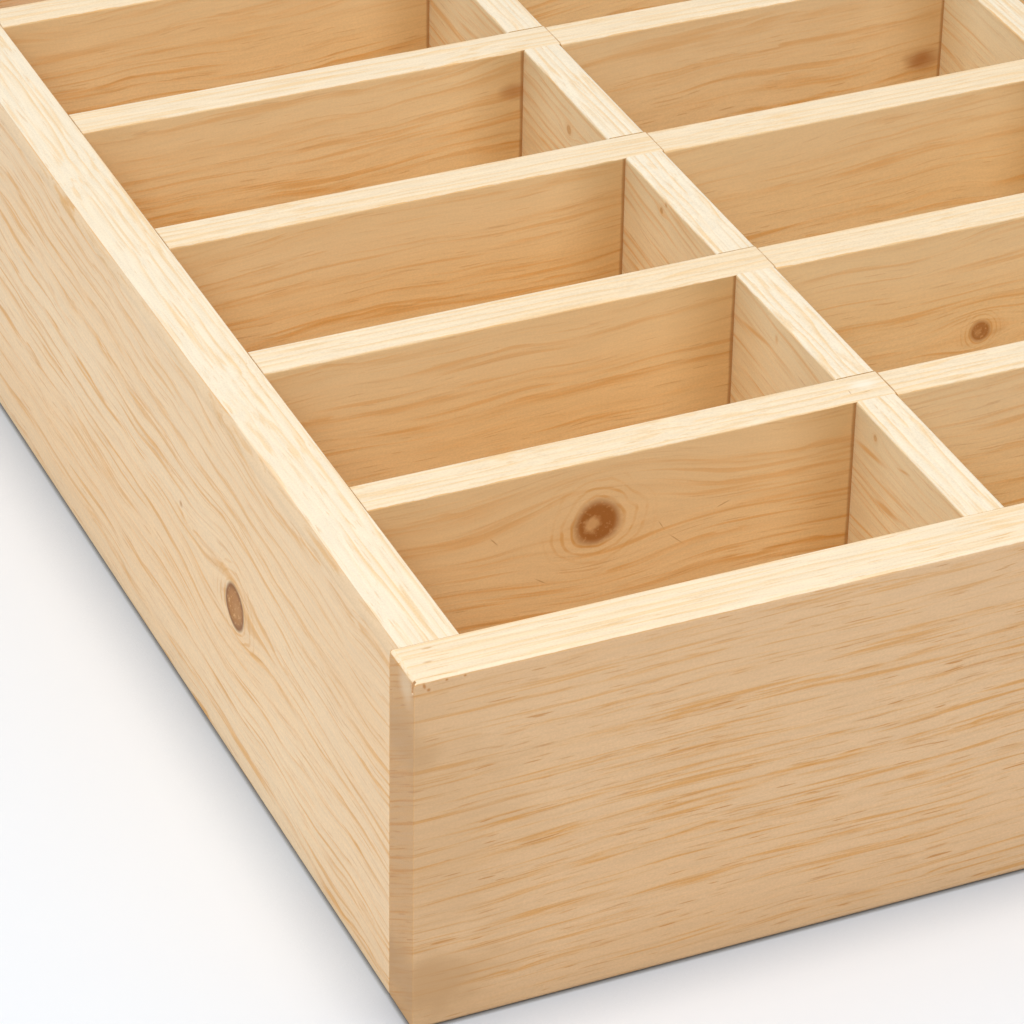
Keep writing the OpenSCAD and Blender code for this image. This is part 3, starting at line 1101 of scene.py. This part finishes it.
def board_joints(node):
    """The corners of the compartments, along the face of a divider or a partition, with their painted shade
    and glue.
    """
    low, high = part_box(node)
    if node in ("left_partition", "right_partition"):
        column = "left" if node == "left_partition" else "middle"
        return [joint(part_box(f"{column}_divider_{row}")[0].y, -1, PARTITION_CORNER_SHADE) for row in ROWS]
    if node not in DIVIDERS:
        return []
    far_end = high.x
    if not node.startswith("right"):
        far_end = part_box("left_partition" if node.startswith("left") else "right_partition")[0].x
    near_end = LEFT_CORNER_SHADE if node.startswith("left") else 0.0
    return [joint(low.x, 1, near_end), joint(far_end, -1, RIGHT_CORNER_SHADE, glue=1.0)]


def seam(place, strength, lengthwise=False, start=-1.0):
    """A line on a board's top where another board meets it."""
    return {"place": place, "strength": strength, "lengthwise": lengthwise, "start": start}


def board_seams(node):
    """A divider meets a board at its left end, and a partition round its tongue."""
    if node not in DIVIDERS:
        return []
    low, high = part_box(node)
    lines = [seam(low.x - BUTT_GAP, SIDE_SEAM if node.startswith("left") else PARTITION_SEAM)]
    if not node.startswith("right"):
        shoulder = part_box("left_partition" if node.startswith("left") else "right_partition")[0].x
        row = int(node[-1])
        lines.append(seam(high.x, TONGUE_END_SEAM / row))
        lines.append(seam(high.y, TONGUE_BACK_SEAM / row, True, shoulder))
    return lines


def board_wood(node):
    """Each board is cut from another part of the tree, so its rings lie differently."""
    low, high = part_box(node)
    middle = (low + high) / 2
    along = "y" if node in BOARDS_ALONG_Y else "x"
    depth = middle.x if along == "y" else middle.y
    seed = 3.1 + 4.7 * (BOARDS_ALONG_Y + BOARDS_ALONG_X).index(node)
    lean = math.sin(seed * 1.3)
    if node in ("left_side", "right_side"):
        chosen, pith, spacing = SIDE_TONES, (-100 * MM, depth + 110 * MM, 0.02), 6.0 * MM
    elif node in ("front_board", "back_board"):
        chosen, pith, spacing = SHADED_FRONT_TONES, (-150 * MM, depth - 130 * MM, 0.01), 6.2 * MM
    elif node in ("left_partition", "right_partition"):
        chosen, pith, spacing = PARTITION_TONES, (-90 * MM, depth - 90 * MM, 0.05), 3.4 * MM
    else:
        chosen = MIDDLE_TONES if node.startswith("middle") else DIVIDER_TONES
        pith, spacing = ((-80 + 30 * lean) * MM, depth + 100 * MM, 0.05 * lean), 6.2 * MM
    inner = {"front_board": 1, "back_board": -1}.get(node, 0)
    plain = {"left_side": low.x, "right_side": high.x}.get(node)
    facet = FACET_MIDDLE if node == "left_side" else None
    wrap = {"front_board": low.y, "back_board": high.y}.get(node)
    return pine(
        f"pine_{node}", along, chosen, pith, spacing, seed, KNOTS.get(node, ()), STAINS.get(node, ()),
        board_joints(node), board_seams(node), inner, plain, facet, wrap)


# The tray


def build_tray():
    made = {
        "left_side": side_board("left_side", 1),
        "right_side": side_board("right_side", -1),
        "front_board": end_board("front_board", 1),
        "back_board": end_board("back_board", -1),
        "left_partition": partition("left_partition", "left"),
        "right_partition": partition("right_partition", "middle"),
    }
    for column in COLUMNS:
        for row in ROWS:
            made[f"{column}_divider_{row}"] = divider(column, row)
    nick_corner(made["front_board"])
    for node, piece in made.items():
        finish_board(piece, node, board_wood(node))


def dress_node(node, material):
    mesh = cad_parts[node].data
    mesh.materials.clear()
    mesh.materials.append(material)


# Table, light and camera

FLOOR_SIZE = 14.0
CONTACT_SAMPLES = 8
# Painted shadow on the floor, round the tray and along its foot: how far it reaches, and its colours
FLOOR_SHADE_REACH = 25 * MM
CONTACT_SHADOW_REACH = 1.6 * MM
TABLE_WHITE = (0.845, 0.875, 0.915)
TABLE_IN_SHADE = (0.55, 0.595, 0.655)
TABLE_CONTACT_SHADOW = (0.30, 0.30, 0.30)
TABLE_ROUGHNESS = 0.7
TABLE_SHEEN = 0.1
CAMERA_PLACE = Vector((-0.58042, -1.05699, 0.73626))
CAMERA_AZIMUTH = -24.212
CAMERA_ELEVATION = 32.774
CAMERA_ROLL = 1.045
CAMERA_LENS = 166.62
CAMERA_SENSOR = 36.0
CAMERA_NEAREST = 0.05
CAMERA_FARTHEST = 60.0
SKY = (0.98, 0.99, 1.0, 1)
BACKDROP = (1, 1, 1, 1)
SKY_AT_HORIZON = 0.25
SKY_TOWARDS_TOP = 0.64
SOFTBOX_PLACE = Vector((-0.95, -1.2, 2.0))
SOFTBOX_SIZE = 1.6
SOFTBOX_WATTS = 33.0


def add_table():
    deselect()
    bpy.ops.mesh.primitive_plane_add(size=FLOOR_SIZE, location=(0, 0, cad_low.z))
    table = bpy.context.object
    table.name = "table"
    s = Shade("white_table")
    # The floor carries painted shadow: ambient occlusion greys it near the tray, and paints a dark contact
    # line right under it
    near = s.node("ShaderNodeAmbientOcclusion", {"samples": CONTACT_SAMPLES}, Distance=FLOOR_SHADE_REACH)
    shade = s.remap(near.outputs["AO"], 0.45, 1.0)
    colour = s.mix(shade, TABLE_IN_SHADE, TABLE_WHITE)
    line = s.node("ShaderNodeAmbientOcclusion", {"samples": CONTACT_SAMPLES}, Distance=CONTACT_SHADOW_REACH)
    colour = s.mix(s.remap(line.outputs["AO"], 0.5, 0.9), TABLE_CONTACT_SHADOW, colour)
    table.data.materials.append(s.surface(colour, TABLE_ROUGHNESS, None, TABLE_SHEEN))


def add_light():
    """A white room with a bright ceiling, and one large softbox from the upper left."""
    world = bpy.data.worlds.new("studio")
    bpy.context.scene.world = world
    s = Nodes(world)
    coord = s.node("ShaderNodeTexCoord")
    upward = s.math("MAXIMUM", s.separate(coord.outputs["Generated"])[2], 0.0)
    glow = s.math("MULTIPLY_ADD", upward, SKY_TOWARDS_TOP, SKY_AT_HORIZON)
    sky = s.node("ShaderNodeBackground", Color=SKY, Strength=glow)
    backdrop = s.node("ShaderNodeBackground", Color=BACKDROP)
    path = s.node("ShaderNodeLightPath")
    shiny = s.math("MAXIMUM", path.outputs["Is Glossy Ray"], path.outputs["Is Transmission Ray"])
    choose = s.node("ShaderNodeMixShader")
    choices = (s.math("MAXIMUM", path.outputs["Is Camera Ray"], shiny), sky.outputs[0], backdrop.outputs[0])
    for socket, value in zip(choose.inputs, choices):
        s.feed(socket, value)
    s.node("ShaderNodeOutputWorld", Surface=choose.outputs[0])

    lamp = bpy.data.lights.new("softbox", "AREA")
    lamp.size = SOFTBOX_SIZE
    lamp.energy = SOFTBOX_WATTS
    softbox = bpy.data.objects.new("softbox", lamp)
    bpy.context.scene.collection.objects.link(softbox)
    softbox.location = SOFTBOX_PLACE
    softbox.rotation_euler = (-SOFTBOX_PLACE).to_track_quat("-Z", "Y").to_euler()


def add_camera():
    lens = bpy.data.cameras.new("camera")
    lens.lens = CAMERA_LENS
    lens.sensor_width = CAMERA_SENSOR
    lens.clip_start = CAMERA_NEAREST
    lens.clip_end = CAMERA_FARTHEST
    camera = bpy.data.objects.new("camera", lens)
    bpy.context.scene.collection.objects.link(camera)
    turn = Matrix.Rotation(math.radians(CAMERA_AZIMUTH), 4, "Z")
    tip = Matrix.Rotation(math.radians(90 - CAMERA_ELEVATION), 4, "X")
    roll = Matrix.Rotation(math.radians(CAMERA_ROLL), 4, "Z")
    camera.matrix_world = Matrix.Translation(CAMERA_PLACE) @ turn @ tip @ roll
    bpy.context.scene.camera = camera


build_tray()
dress_node("bottom_panel", plywood("birch_plywood"))
dress_node("corner_dowels", beech("beech_dowel"))
add_table()
add_light()
add_camera()
bpy.context.scene.view_settings.view_transform = "Standard"
